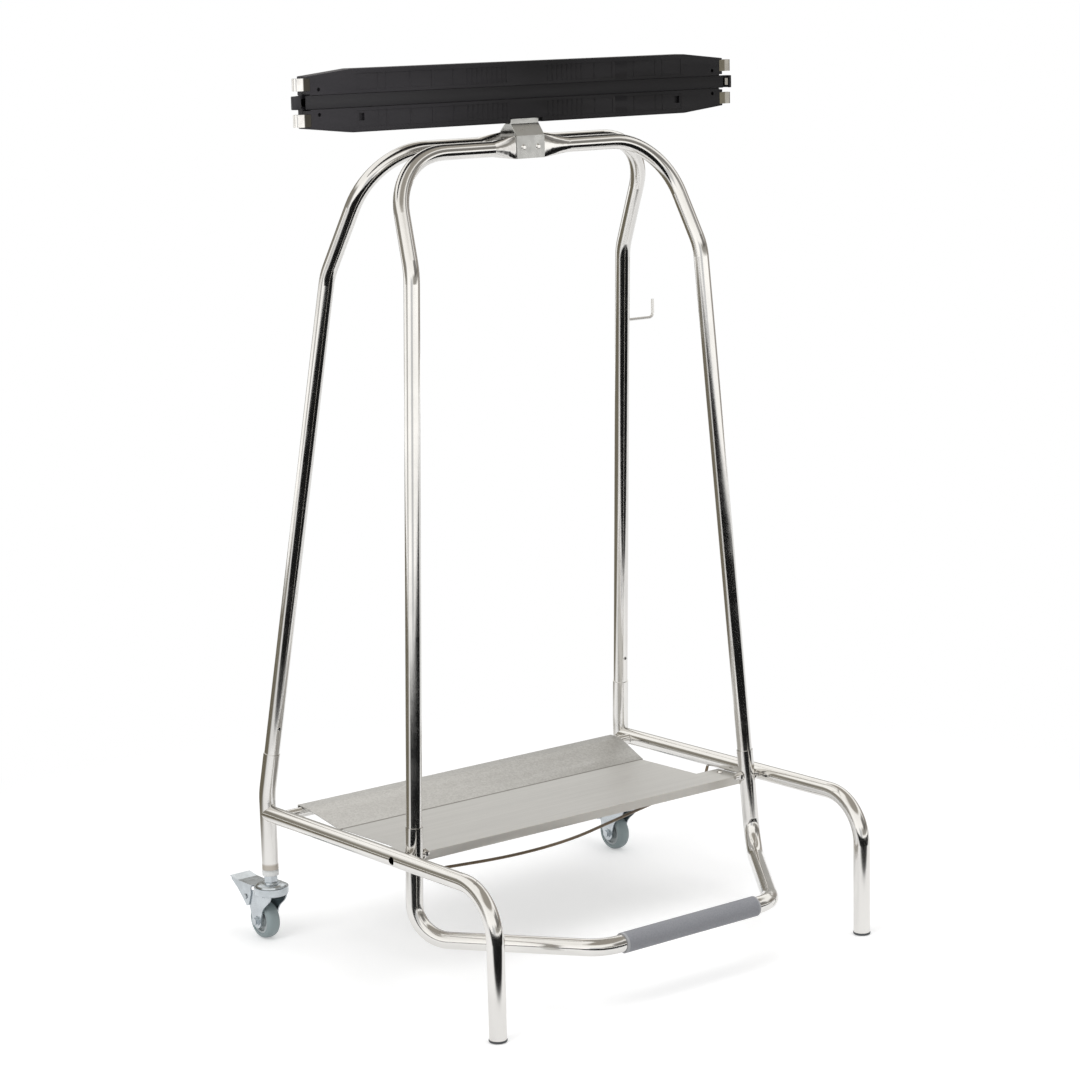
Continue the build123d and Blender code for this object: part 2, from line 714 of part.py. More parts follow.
        # Rubber band: a run in the groove; the rear one turns round the end eyes
        with BuildPart() as band:
            if f < 0:
                run = strip_end_x - hinge_x + 1.2
                with Locations((s * (hinge_x + 0.2 + run / 2), outer - f * (band_thick - 0.3) / 2, clamp_z)):
                    Box(run, band_thick - 0.1, band_high)
            else:
                loop_r = eye_od / 2 + 0.35 + band_thick / 2
                run_y = outer - f * (band_thick - 0.3) / 2
                with BuildSketch(Plane.XY.offset(clamp_z - band_high / 2)):
                    with BuildLine():
                        Line((s * (eye_x - 1), eye_y - loop_r), (s * eye_x, eye_y - loop_r))
                        ThreePointArc(
                            (s * eye_x, eye_y - loop_r),
                            (s * (eye_x + loop_r), eye_y),
                            (s * eye_x, eye_y + loop_r),
                        )
                        Polyline(
                            (s * eye_x, eye_y + loop_r),
                            (s * (strip_end_x + 2.2), run_y - 0.6),
                            (s * (strip_end_x + 0.8), run_y),
                            (s * (hinge_x + 0.2), run_y),
                        )
                    trace(line_width=band_thick - 0.1)
                extrude(amount=band_high)
        export(band.part, f"{name}_band_{side}")


# Castors under the rear legs. Each swivels about its leg and trails to the rear
pad_y = lever_y - 3.4
pad_z = lever_z - 9.4
leg_out = fork_gap / 2 + fork_sheet
stem_d = 10.0
pin_top = socket_low + 31.4
for side, s in SIDES.items():
    cx = s * half_width

    # Grey plastic socket pressed into the leg
    with BuildPart() as socket:
        with BuildSketch(Plane.XY.offset(socket_low)):
            with Locations((cx, rear_y)):
                Circle(base_od / 2)
        extrude(amount=socket_collar)
        fillet(socket.edges().group_by(Axis.Z)[0], radius=0.8)
        with BuildSketch(Plane.XY.offset(socket_low + socket_collar)):
            with Locations((cx, rear_y)):
                Circle(base_od / 2 - wall - 0.1)
        extrude(amount=30.0)
        with BuildSketch(Plane.XY.offset(socket_low - 1)):
            with Locations((cx, rear_y)):
                Circle(stem_d / 2 + running_clearance)
        extrude(amount=pin_top - socket_low + 3, mode=Mode.SUBTRACT)
    export(socket.part, f"leg_socket_{side}")

    # Fixed part: stem, nut, race cap and king pin
    with BuildPart() as stem:
        with BuildSketch(Plane.XZ.offset(-rear_y)):
            with BuildLine():
                Polyline(
                    (cx, cup_low - 3.6),
                    (cx + 6.6, cup_low - 3.6),
                    (cx + 7.0, cup_low - 2.8),
                    (cx + 7.0, cup_low - 0.4),
                    (cx + 4.0, cup_low - 0.4),
                    (cx + 4.0, cup_low + 3.2),
                    (cx + race_od / 2 - 2.6, cup_low + 3.2),
                    (cx + race_od / 2 - 2.6, cup_high + 0.3),
                    (cx + race_od / 2 - 3.6, cup_high + 2.4),
                    (cx + race_od / 2 - 7.0, cup_high + 4.0),
                    (cx + 11.5, cup_high + 4.4),
                    (cx + 11.0, nut_low),
                    (cx + stem_d / 2, nut_low),
                    (cx + stem_d / 2, pin_top - 0.6),
                    (cx + stem_d / 2 - 0.6, pin_top),
                    (cx, pin_top),
                    close=True,
                )
            make_face()
        revolve(axis=Axis((cx, rear_y, 0), (0, 0, 1)))
        with BuildSketch(Plane.XY.offset(nut_low)):
            with Locations((cx, rear_y)):
                RegularPolygon(9.8, 6)
        extrude(amount=nut_high - nut_low)
    export(stem.part, f"castor_stem_{side}")

    # Swivelling fork, pressed from one sheet: a cup on top and two curved legs
    with BuildPart() as fork:
        with BuildSketch(Plane.XZ.offset(-rear_y)):
            with BuildLine():
                Polyline(
                    (cx + 4.1, cup_low),
                    (cx + race_od / 2 - 1.2, cup_low),
                    (cx + race_od / 2 - 0.2, cup_low + 1.0),
                    (cx + race_od / 2, cup_low + 5.0),
                    (cx + race_od / 2, cup_high),
                    (cx + race_od / 2 - 2.2, cup_high),
                    (cx + race_od / 2 - 2.2, cup_low + 2.5),
                    (cx + 4.1, cup_low + 2.5),
                    close=True,
                )
            make_face()
        revolve(axis=Axis((cx, rear_y, 0), (0, 0, 1)))
        for t in (-1, 1):
            with BuildSketch(Plane.YZ.offset(cx + t * (fork_gap / 2 + fork_sheet / 2))):
                with BuildLine() as rim_line:
                    Polyline(
                        (rear_y - 18.0, cup_low + 0.4),
                        (rear_y + 20.0, cup_low + 0.4),
                        (lever_y - 6.0, cup_low - 0.4),
                        (lever_y + 3.6, lever_z + 3.4),
                        (lever_y + 4.6, lever_z - 0.5),
                        (lever_y + 1.0, lever_z - 4.6),
                        (lever_y - 7.0, lever_z - 12.0),
                        (axle_y + 12.5, axle_z + 6.0),
                        (axle_y + 9.6, axle_z - 3.4),
                    )
                    ThreePointArc(
                        (axle_y + 9.6, axle_z - 3.4),
                        (axle_y, axle_z - 10.2),
                        (axle_y - 9.6, axle_z - 3.4),
                    )
                    Spline(
                        (axle_y - 9.6, axle_z - 3.4),
                        (axle_y - 11.5, axle_z + 8.0),
                        (axle_y - 17.5, axle_z + 20.0),
                        (axle_y - 28.0, axle_z + 29.0),
                        (rear_y - 18.0, cup_low + 0.4),
                    )
                make_face()
                with Locations((axle_y, axle_z)):
                    Circle(axle_d / 2 + weld_gap, mode=Mode.SUBTRACT)
                with Locations((lever_y, lever_z)):
                    Circle(2.5 + weld_gap, mode=Mode.SUBTRACT)
                with Locations((pad_y, pad_z)):
                    Circle(4.2, mode=Mode.SUBTRACT)
            extrude(amount=fork_sheet / 2, both=True)
    export(fork.part, f"castor_fork_{side}")

    # Axle bolt with its nut, and the lever's pin
    with BuildPart() as axle:
        with BuildSketch(Plane.YZ.offset(cx)):
            with Locations((axle_y, axle_z)):
                Circle(axle_d / 2)
        extrude(amount=leg_out + 0.05, both=True)
        for t in (-1, 1):
            with BuildSketch(Plane(origin=(cx + t * (leg_out + 0.05), axle_y, axle_z), z_dir=(t, 0, 0))):
                Circle(6.4)
            extrude(amount=1.2)
            with BuildSketch(Plane(origin=(cx + t * (leg_out + 1.25), axle_y, axle_z), z_dir=(t, 0, 0))):
                RegularPolygon(5.2, 6)
            extrude(amount=3.4)
    export(axle.part, f"castor_axle_{side}")

    with BuildPart() as lever_pin:
        with BuildSketch(Plane.YZ.offset(cx)):
            with Locations((lever_y, lever_z)):
                Circle(2.5)
        extrude(amount=leg_out + 2.4, both=True)
        for t in (-1, 1):
            with BuildSketch(Plane(origin=(cx + t * (leg_out + 2.4), lever_y, lever_z), z_dir=(t, 0, 0))):
                Circle(3.6)
            extrude(amount=1.2, taper=20)
    export(lever_pin.part, f"lever_pin_{side}")

    # Wheel: grey plastic core and rubber tyre
    core_r = 18.0
    with BuildPart() as core:
        with BuildSketch(Plane.YZ.offset(cx)):
            with Locations((axle_y, axle_z)):
                Circle(core_r)
        extrude(amount=8.0, both=True)
        with BuildSketch(Plane.YZ.offset(cx)):
            with Locations((axle_y, axle_z)):
                Circle(7.5)
        extrude(amount=fork_gap / 2 - 0.3, both=True)
        with BuildSketch(Plane.YZ.offset(cx)):
            with Locations((axle_y, axle_z)):
                Circle(axle_d / 2 + running_clearance)
        extrude(amount=fork_gap, both=True, mode=Mode.SUBTRACT)
        for t in (-1, 1):
            with BuildSketch(Plane(origin=(cx + t * 8.0, axle_y, axle_z), z_dir=(-t, 0, 0))):
                Circle(15.0)
                Circle(9.5, mode=Mode.SUBTRACT)
            extrude(amount=3.0, mode=Mode.SUBTRACT)
    export(core.part, f"wheel_core_{side}")

    with BuildPart() as tyre:
        with BuildSketch(Plane.XY.offset(axle_z)):
            with BuildLine():
                Polyline((cx - 9.0, axle_y + core_r), (cx + 9.0, axle_y + core_r))
                Line((cx + 9.0, axle_y + core_r), (cx + wheel_wide / 2, axle_y + core_r + 1.2))
                Spline(
                    (cx + wheel_wide / 2, axle_y + core_r + 1.2),
                    (cx + 8.2, axle_y + 22.8),
                    (cx, axle_y + wheel_od / 2),
                    (cx - 8.2, axle_y + 22.8),
                    (cx - wheel_wide / 2, axle_y + core_r + 1.2),
                )
                Line((cx - wheel_wide / 2, axle_y + core_r + 1.2), (cx - 9.0, axle_y + core_r))
            make_face()
        revolve(axis=Axis((cx, axle_y, axle_z), (1, 0, 0)))
    export(tyre.part, f"tyre_{side}")

    # Brake lever: a plate with side wings, and a bar that meets the tyre
    wing_in = leg_out + 0.3
    wing_out = wing_in + 1.5
    with BuildPart() as lever:
        for t in (-1, 1):
            with BuildSketch(Plane.YZ.offset(cx + t * (wing_in + wing_out) / 2)):
                with BuildLine():
                    Polyline(
                        (lever_y - 14.0, lever_z + 18.4),
                        (lever_y - 13.0, lever_z + 6.0),
                        (lever_y - 7.4, lever_z - 10.4),
                        (lever_y - 2.0, lever_z - 12.4),
                        (lever_y + 6.0, lever_z - 4.0),
                        (lever_y + 20.0, lever_z + 8.0),
                        (lever_tip_y - 3.0, lever_z + 16.6),
                        (lever_tip_y - 3.0, lever_z + 18.4),
                        close=True,
                    )
                make_face()
                with Locations((lever_y, lever_z)):
                    Circle(2.5 + 0.08, mode=Mode.SUBTRACT)
            extrude(amount=0.75, both=True)
        with BuildSketch(Plane.YZ.offset(cx)):
            with BuildLine():
                Polyline(
                    (lever_y - 16.2, lever_z + 17.0),
                    (lever_y + 18.0, lever_z + 17.0),
                    (lever_tip_y, lever_z + 19.4),
                    (lever_tip_y, lever_z + 21.0),
                    (lever_y + 18.0, lever_z + 18.6),
                    (lever_y - 16.2, lever_z + 18.6),
                    close=True,
                )
            make_face()
        extrude(amount=wing_out, both=True)
        with BuildSketch(Plane.YZ.offset(cx)):
            with Locations((pad_y, pad_z)):
                Circle(2.0)
        extrude(amount=wing_in + 0.1, both=True)
    export(lever.part, f"brake_lever_{side}")
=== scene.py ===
from math import atan2, cos, pi, sin

import bmesh
import bpy
from mathutils import Matrix, Vector


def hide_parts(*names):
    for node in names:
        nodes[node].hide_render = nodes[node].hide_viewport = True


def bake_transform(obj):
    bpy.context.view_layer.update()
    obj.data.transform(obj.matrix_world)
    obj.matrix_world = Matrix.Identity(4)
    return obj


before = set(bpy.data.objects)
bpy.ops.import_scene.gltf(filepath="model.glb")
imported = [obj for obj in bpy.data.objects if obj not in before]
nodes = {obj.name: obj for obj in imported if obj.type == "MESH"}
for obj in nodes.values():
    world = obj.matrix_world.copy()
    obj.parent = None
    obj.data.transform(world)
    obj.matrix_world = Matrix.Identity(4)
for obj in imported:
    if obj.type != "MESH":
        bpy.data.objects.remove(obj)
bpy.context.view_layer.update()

bpy.context.scene.view_settings.view_transform = "Standard"


# Camera and room

camera_data = bpy.data.cameras.new("camera")
camera = bpy.data.objects.new("camera", camera_data)
bpy.context.scene.collection.objects.link(camera)
bpy.context.scene.camera = camera

PHOTO_SIZE = 1080.0  # pixels, both ways
FOCAL_LENGTH = 2895.524  # pixels
CENTRE_X, CENTRE_Y = 550.581, 528.417  # where the camera's axis meets the photograph, in pixels
SENSOR = 36.0
ROLL = -0.023
CAMERA_SPOT = (-2.247498, -2.931230, 1.241264)
view = Vector((0.60011264, 0.77822735, -0.18500545))
yaw = atan2(view.x, view.y)
level = Vector((cos(yaw), -sin(yaw), 0))
up = level.cross(view)
side = level * cos(ROLL) + up * sin(ROLL)
top = up * cos(ROLL) - level * sin(ROLL)
turn = Matrix((side, top, -view)).transposed()
camera.matrix_world = Matrix.Translation(CAMERA_SPOT) @ turn.to_4x4()
camera_data.sensor_width = SENSOR
camera_data.lens = SENSOR * FOCAL_LENGTH / PHOTO_SIZE
camera_data.shift_x = (PHOTO_SIZE / 2 - CENTRE_X) / PHOTO_SIZE
camera_data.shift_y = (CENTRE_Y - PHOTO_SIZE / 2) / PHOTO_SIZE
camera_data.clip_end = 50.0


def links(tree, *pairs):
    for a, b in pairs:
        tree.links.new(a, b)


def node(tree, kind, **values):
    """A new node; in_0, in_1 and so on set its inputs, and other names its settings."""
    n = tree.nodes.new(kind)
    for key, value in values.items():
        if key.startswith("in_"):
            n.inputs[int(key[3:])].default_value = value
        else:
            setattr(n, key, value)
    return n


def math_node(tree, operation, a, b=None):
    n = tree.nodes.new("ShaderNodeMath")
    n.operation = operation
    for i, value in enumerate((a, b)):
        if value is None:
            continue
        if isinstance(value, (int, float)):
            n.inputs[i].default_value = value
        else:
            tree.links.new(value, n.inputs[i])
    return n.outputs[0]


def multiply(tree, a, b):
    return math_node(tree, "MULTIPLY", a, b)


def towards_compass(tree, x, y, angle):
    """How far a place lies towards a compass direction, given in degrees from +X."""
    direction = angle * pi / 180
    return math_node(tree, "ADD", multiply(tree, x, cos(direction)), multiply(tree, y, sin(direction)))


def between(tree, value, low, high, to_low=0.0, to_high=1.0):
    """A smooth step from to_low at low to to_high at high."""
    n = tree.nodes.new("ShaderNodeMapRange")
    n.interpolation_type = "SMOOTHSTEP"
    tree.links.new(value, n.inputs["Value"])
    n.inputs["From Min"].default_value = low
    n.inputs["From Max"].default_value = high
    n.inputs["To Min"].default_value = to_low
    n.inputs["To Max"].default_value = to_high
    return n.outputs[0]


def mix_colours(tree, factor, a, b):
    n = tree.nodes.new("ShaderNodeMix")
    n.data_type = "RGBA"
    for i, value in ((0, factor), (6, a), (7, b)):
        if isinstance(value, (int, float, tuple)):
            n.inputs[i].default_value = value
        else:
            tree.links.new(value, n.inputs[i])
    return n.outputs[2]


WHITE = (1, 1, 1, 1)
FILL_LIGHT = 0.62
REFLECTED_WHITE = 1.42


def build_world():
    """White to the camera; reflections see a bright room with dim zones, by direction and height."""
    world = bpy.data.worlds.new("room")
    bpy.context.scene.world = world
    world.use_nodes = True
    tree = world.node_tree
    tree.nodes.clear()
    place = tree.nodes.new("ShaderNodeTexCoord")
    split = tree.nodes.new("ShaderNodeSeparateXYZ")
    tree.links.new(place.outputs["Generated"], split.inputs[0])
    x, y, z = split.outputs

    def towards(angle, inner, outer):
        """1 within the inner half-angle of a compass direction, 0 beyond the outer one."""
        flat = towards_compass(tree, x, y, angle)
        long = math_node(tree, "SQRT", math_node(tree, "ADD", multiply(tree, x, x), multiply(tree, y, y)))
        ratio = math_node(tree, "DIVIDE", flat, math_node(tree, "MAXIMUM", long, 0.001))
        return between(tree, ratio, cos(outer * pi / 180), cos(inner * pi / 180))

    def heights(low_out, low_in, high_in, high_out):
        """1 between the inner heights, 0 beyond the outer ones."""
        rising = between(tree, z, low_out, low_in)
        falling = between(tree, z, high_in, high_out, 1.0, 0.0)
        return multiply(tree, rising, falling)

    # Direction, heights, strength and colour of each dim zone
    zones = (
        (towards(62, 26, 46), heights(-1.2, -1.1, 0.30, 0.42), 0.75, (0.16, 0.152, 0.132, 1)),
        (towards(162, 5, 15), heights(-1.2, -1.1, 0.30, 0.42), 0.70, (0.28, 0.275, 0.27, 1)),
        (towards(0, 16, 34), heights(-1.2, -1.1, 0.30, 0.50), 0.80, (0.16, 0.125, 0.095, 1)),
        (towards(112, 34, 62), heights(-0.03, 0.04, 0.34, 0.50), 0.90, (0.175, 0.155, 0.112, 1)),
        (towards(-60, 34, 60), heights(0.03, 0.08, 0.22, 0.34), 0.80, (0.15, 0.135, 0.105, 1)),
        (towards(-127, 7, 19), heights(-0.40, -0.20, 0.16, 0.26), 0.60, (0.30, 0.32, 0.36, 1)),
        (towards(-56, 16, 30), heights(0.16, 0.26, 0.50, 0.64), 0.85, (0.085, 0.075, 0.066, 1)),
        (towards(-40, 100, 140), heights(0.66, 0.76, 1.2, 1.3), 0.80, (0.22, 0.19, 0.145, 1)),
    )
    wall, ceiling = (REFLECTED_WHITE, 1.41, 1.385, 1), (1.20, 1.185, 1.15, 1)
    colour = mix_colours(tree, between(tree, z, -0.1, 0.9), wall, ceiling)
    for direction, height, strength, tint in zones:
        share = multiply(tree, multiply(tree, direction, height), strength)
        colour = mix_colours(tree, share, colour, tint)
    reflected = node(tree, "ShaderNodeBackground", in_1=1.0)
    tree.links.new(colour, reflected.inputs[0])
    white = node(tree, "ShaderNodeBackground", in_0=WHITE, in_1=1.0)
    soft = node(tree, "ShaderNodeBackground", in_0=WHITE, in_1=FILL_LIGHT)
    path = tree.nodes.new("ShaderNodeLightPath")
    glossy = tree.nodes.new("ShaderNodeMixShader")
    straight = tree.nodes.new("ShaderNodeMixShader")
    seen = math_node(tree, "MAXIMUM", path.outputs["Is Camera Ray"], path.outputs["Is Transmission Ray"])
    out = tree.nodes.new("ShaderNodeOutputWorld")
    links(
        tree,
        (path.outputs["Is Glossy Ray"], glossy.inputs[0]),
        (soft.outputs[0], glossy.inputs[1]),
        (reflected.outputs[0], glossy.inputs[2]),
        (seen, straight.inputs[0]),
        (glossy.outputs[0], straight.inputs[1]),
        (white.outputs[0], straight.inputs[2]),
        (straight.outputs[0], out.inputs[0]),
    )


FLOOR_RADIUS = 6.0
FLOOR_DROP = 0.0006  # how far the floor lies under the feet
FRONT_ANGLE = -100  # compass direction of the floor's black zone, in degrees
REAR_ANGLE = 118  # and of its olive zone


def build_floor():
    """A round pale floor that keeps the stand's shadow and runs out into white.

    Reflections also see a black zone in front of the stand, an olive one behind it and a bright rim.
    """
    mesh = bpy.data.meshes.new("floor")
    shape = bmesh.new()
    bmesh.ops.create_circle(shape, cap_ends=True, radius=FLOOR_RADIUS, segments=96)
    shape.to_mesh(mesh)
    shape.free()
    floor = bpy.data.objects.new("floor", mesh)
    floor.location = (0, 0, -FLOOR_DROP)
    bpy.context.scene.collection.objects.link(floor)
    material = bpy.data.materials.new("floor")
    material.use_nodes = True
    tree = material.node_tree
    tree.nodes.clear()
    place = tree.nodes.new("ShaderNodeTexCoord")
    reach = tree.nodes.new("ShaderNodeVectorMath")
    reach.operation = "LENGTH"
    tree.links.new(place.outputs["Object"], reach.inputs[0])
    distance = reach.outputs["Value"]
    fade = between(tree, distance, 0.75, 1.2)
    split = tree.nodes.new("ShaderNodeSeparateXYZ")
    tree.links.new(place.outputs["Object"], split.inputs[0])
    x, y = split.outputs[0], split.outputs[1]
    at_least = math_node(tree, "MAXIMUM", distance, 0.01)
    ahead = towards_compass(tree, x, y, FRONT_ANGLE)
    facing = math_node(tree, "DIVIDE", ahead, at_least)
    black_zone = multiply(tree, between(tree, ahead, 0.47, 0.53), between(tree, facing, 0.16, 0.36))
    behind = towards_compass(tree, x, y, REAR_ANGLE)
    backward = math_node(tree, "DIVIDE", behind, at_least)
    olive_zone = multiply(tree, between(tree, behind, 0.55, 1.0), between(tree, backward, 0.5, 0.8))
    rim = between(tree, distance, 4.3, 5.5)
    path = tree.nodes.new("ShaderNodeLightPath")
    glossy = path.outputs["Is Glossy Ray"]
    mirror_or_glass = math_node(tree, "MAXIMUM", glossy, path.outputs["Is Transmission Ray"])
    seen = math_node(tree, "MAXIMUM", path.outputs["Is Camera Ray"], mirror_or_glass)
    diffuse = tree.nodes.new("ShaderNodeBsdfDiffuse")
    diffuse.inputs[0].default_value = (0.82, 0.82, 0.82, 1)
    glow = node(tree, "ShaderNodeEmission", in_1=0.34)
    add = tree.nodes.new("ShaderNodeAddShader")
    white = node(tree, "ShaderNodeEmission", in_1=1.0)
    bright = node(tree, "ShaderNodeEmission", in_1=REFLECTED_WHITE)
    black = node(tree, "ShaderNodeEmission", in_1=0.012)
    near = tree.nodes.new("ShaderNodeMixShader")
    olive = tree.nodes.new("ShaderNodeEmission")
    olive.inputs[0].default_value = (0.20, 0.18, 0.135, 1)
    rear = tree.nodes.new("ShaderNodeMixShader")
    mirrored = tree.nodes.new("ShaderNodeMixShader")
    beyond = tree.nodes.new("ShaderNodeMixShader")
    plain = tree.nodes.new("ShaderNodeBsdfDiffuse")
    plain.inputs[0].default_value = (0.80, 0.80, 0.80, 1)
    whole = tree.nodes.new("ShaderNodeMixShader")
    out = tree.nodes.new("ShaderNodeOutputMaterial")
    links(
        tree,
        (diffuse.outputs[0], add.inputs[0]),
        (glow.outputs[0], add.inputs[1]),
        (fade, near.inputs[0]),
        (add.outputs[0], near.inputs[1]),
        (white.outputs[0], near.inputs[2]),
        (multiply(tree, black_zone, glossy), mirrored.inputs[0]),
        (multiply(tree, olive_zone, glossy), rear.inputs[0]),
        (near.outputs[0], rear.inputs[1]),
        (olive.outputs[0], rear.inputs[2]),
        (rear.outputs[0], mirrored.inputs[1]),
        (black.outputs[0], mirrored.inputs[2]),
        (multiply(tree, rim, glossy), beyond.inputs[0]),
        (mirrored.outputs[0], beyond.inputs[1]),
        (bright.outputs[0], beyond.inputs[2]),
        (seen, whole.inputs[0]),
        (plain.outputs[0], whole.inputs[1]),
        (beyond.outputs[0], whole.inputs[2]),
        (whole.outputs[0], out.inputs[0]),
    )
    mesh.materials.append(material)


def lamp(name, size, energy, spot, aim):
    """An area lamp that lights the stand but isn't mirrored in it."""
    data = bpy.data.lights.new(name, "AREA")
    data.shape = "RECTANGLE"
    data.size, data.size_y = size
    data.energy = energy
    piece = bpy.data.objects.new(name, data)
    piece.location = spot
    piece.rotation_euler = (Vector(aim) - Vector(spot)).to_track_quat("-Z", "Y").to_euler()
    piece.visible_glossy = False
    bpy.context.scene.collection.objects.link(piece)


build_world()
build_floor()
lamp("lamp_left", (1.6, 2.2), 34, (-2.6, -0.6, 2.6), (0, 0, 0.5))
lamp("lamp_top", (2.4, 2.4), 30, (0.5, -0.6, 3.4), (0, 0, 0.4))


# Materials

def surface(name, colour, metallic=0.0, rough=0.4, rough_swing=0.0, rough_scale=40.0, bump=0.0,
            bump_scale=600.0, stretch=(1, 1, 1), tone=0.0, tone_scale=12.0, specular=None):
    """A finish whose colour, roughness and grain vary a little over the surface."""
    material = bpy.data.materials.new(name)
    material.use_nodes = True
    tree = material.node_tree
    shader = tree.nodes["Principled BSDF"]
    shader.inputs["Metallic"].default_value = metallic
    shader.inputs["Base Color"].default_value = (*colour, 1)
    shader.inputs["Roughness"].default_value = rough
    if specular is not None:
        shader.inputs["Specular IOR Level"].default_value = specular
    place = tree.nodes.new("ShaderNodeTexCoord")
    spread = tree.nodes.new("ShaderNodeMapping")
    spread.inputs["Scale"].default_value = stretch
    tree.links.new(place.outputs["Object"], spread.inputs[0])
    if tone:
        cloud = node(tree, "ShaderNodeTexNoise", in_2=tone_scale, in_3=4.0)
        tree.links.new(spread.outputs[0], cloud.inputs[0])
        share = between(tree, cloud.outputs[0], 0.3, 0.7)
        darker = tuple(c * (1 - tone) for c in colour) + (1,)
        paler = tuple(min(1, c * (1 + tone)) for c in colour) + (1,)
        tree.links.new(mix_colours(tree, share, darker, paler), shader.inputs["Base Color"])
    if rough_swing:
        cloud = node(tree, "ShaderNodeTexNoise", in_2=rough_scale, in_3=5.0)
        tree.links.new(spread.outputs[0], cloud.inputs[0])
        smoothest, roughest = max(0.02, rough - rough_swing), rough + rough_swing
        uneven = between(tree, cloud.outputs[0], 0.25, 0.75, smoothest, roughest)
        tree.links.new(uneven, shader.inputs["Roughness"])
    if bump:
        grain = node(tree, "ShaderNodeTexNoise", in_2=bump_scale, in_3=3.0)
        tree.links.new(spread.outputs[0], grain.inputs[0])
        raise_it = node(tree, "ShaderNodeBump")
        raise_it.inputs["Strength"].default_value = bump
        raise_it.inputs["Distance"].default_value = 0.0005
        tree.links.new(grain.outputs[0], raise_it.inputs["Height"])
        tree.links.new(raise_it.outputs[0], shader.inputs["Normal"])
    return material


POLISHED = dict(colour=(0.70, 0.687, 0.665), metallic=1.0, rough=0.12, rough_swing=0.03, rough_scale=30,
                bump=0.012, bump_scale=900, tone=0.04)
steel = surface("polished_steel", **POLISHED)
leg = surface("leg_steel", **POLISHED)
steel_dull = surface("brushed_steel", (0.62, 0.605, 0.57), metallic=1.0,
                     rough=0.24, rough_swing=0.06, rough_scale=60,
                     bump=0.10, bump_scale=900, tone=0.05)
steel_plate = surface("plate_steel", (0.47, 0.47, 0.455), metallic=1.0,
                      rough=0.30, rough_swing=0.05, rough_scale=80,
                      bump=0.08, bump_scale=700, tone=0.05)
zinc = surface("bright_zinc", (0.50, 0.535, 0.56), metallic=1.0, rough=0.20, rough_swing=0.07, rough_scale=90,
               bump=0.10, bump_scale=500, tone=0.08, tone_scale=60)
wire = surface("dark_wire", (0.16, 0.125, 0.09), metallic=1.0, rough=0.34, rough_swing=0.08, rough_scale=120,
               bump=0.2, bump_scale=500, tone=0.15)
plastic = surface("black_plastic", (0.0068, 0.0062, 0.0074), rough=0.46, rough_swing=0.08, rough_scale=30,
                  bump=0.25, bump_scale=700, stretch=(0.25, 1, 1.6), tone=0.35, tone_scale=22,
                  specular=0.27)
rubber = surface("black_rubber", (0.0062, 0.0057, 0.0068), rough=0.42, rough_swing=0.06, rough_scale=40,
                 bump=0.12, bump_scale=900, stretch=(0.12, 1, 1), tone=0.18, tone_scale=30,
                 specular=0.26)
tyre = surface("grey_tyre", (0.30, 0.36, 0.37), rough=0.42, rough_swing=0.06, rough_scale=60,
               bump=0.2, bump_scale=700, tone=0.05)
core = surface("grey_plastic", (0.46, 0.50, 0.51), rough=0.38, rough_swing=0.05, rough_scale=60,
               bump=0.15, bump_scale=700, tone=0.04)
socket = surface("pale_plastic", (0.80, 0.81, 0.80), rough=0.36, rough_swing=0.05, rough_scale=60,
                 bump=0.15, bump_scale=700, tone=0.04)
cap = surface("dark_plastic", (0.055, 0.06, 0.065), rough=0.45, rough_swing=0.05, rough_scale=60,
              bump=0.2, bump_scale=700, tone=0.1)
grip = surface("grey_sleeve", (0.272, 0.277, 0.298), rough=0.60, rough_swing=0.05, rough_scale=60,
               bump=0.5, bump_scale=1400, tone=0.06, tone_scale=500)


def place_of(tree, axis):
    """One coordinate of the surface, in metres."""
    place = tree.nodes.new("ShaderNodeTexCoord")
    split = tree.nodes.new("ShaderNodeSeparateXYZ")
    tree.links.new(place.outputs["Object"], split.inputs[0])
    return split.outputs[axis]


def paint(material, share, colour):
    """Lays a colour over part of a finish."""
    tree = material.node_tree
    shader = tree.nodes["Principled BSDF"]
    base = shader.inputs["Base Color"]
    under = base.links[0].from_socket if base.links else tuple(base.default_value)
    tree.links.new(mix_colours(tree, share, under, colour), base)


def paint_left_sheen(material, left, right):
    """Black moulding painted paler towards the left end: a painted sheen, as if lit from the left."""
    tree = material.node_tree
    shader = tree.nodes["Principled BSDF"]
    under = shader.inputs["Base Color"].links[0].from_socket
    left_sheen = mix_colours(tree, between(tree, place_of(tree, 0), -0.36, 0.06), left, right)
    blend = tree.nodes.new("ShaderNodeMix")
    blend.data_type = "RGBA"
    blend.blend_type = "ADD"
    blend.inputs[0].default_value = 1.0
    tree.links.new(under, blend.inputs[6])
    tree.links.new(left_sheen, blend.inputs[7])
    tree.links.new(blend.outputs[2], shader.inputs["Base Color"])


# Painted sheen: the strips and bands are painted paler towards the left end
paint_left_sheen(plastic, (0.034, 0.032, 0.036, 1), (0.001, 0.0008, 0.001, 1))
paint_left_sheen(rubber, (0.030, 0.029, 0.031, 1), (0.0, 0.0, 0.0, 1))

# The sleeve's two ends are paler, and the rear legs are painted browner just above their sockets
from_middle = math_node(grip.node_tree, "ABSOLUTE", place_of(grip.node_tree, 0))
paint(grip, between(grip.node_tree, from_middle, 0.1060, 0.1068), (0.40, 0.405, 0.42, 1))
# The rear legs are painted browner just above their sockets
brown_band = between(leg.node_tree, place_of(leg.node_tree, 2), 0.1085, 0.1045, 0.0, 0.7)
paint(leg, brown_band, (0.30, 0.255, 0.20, 1))


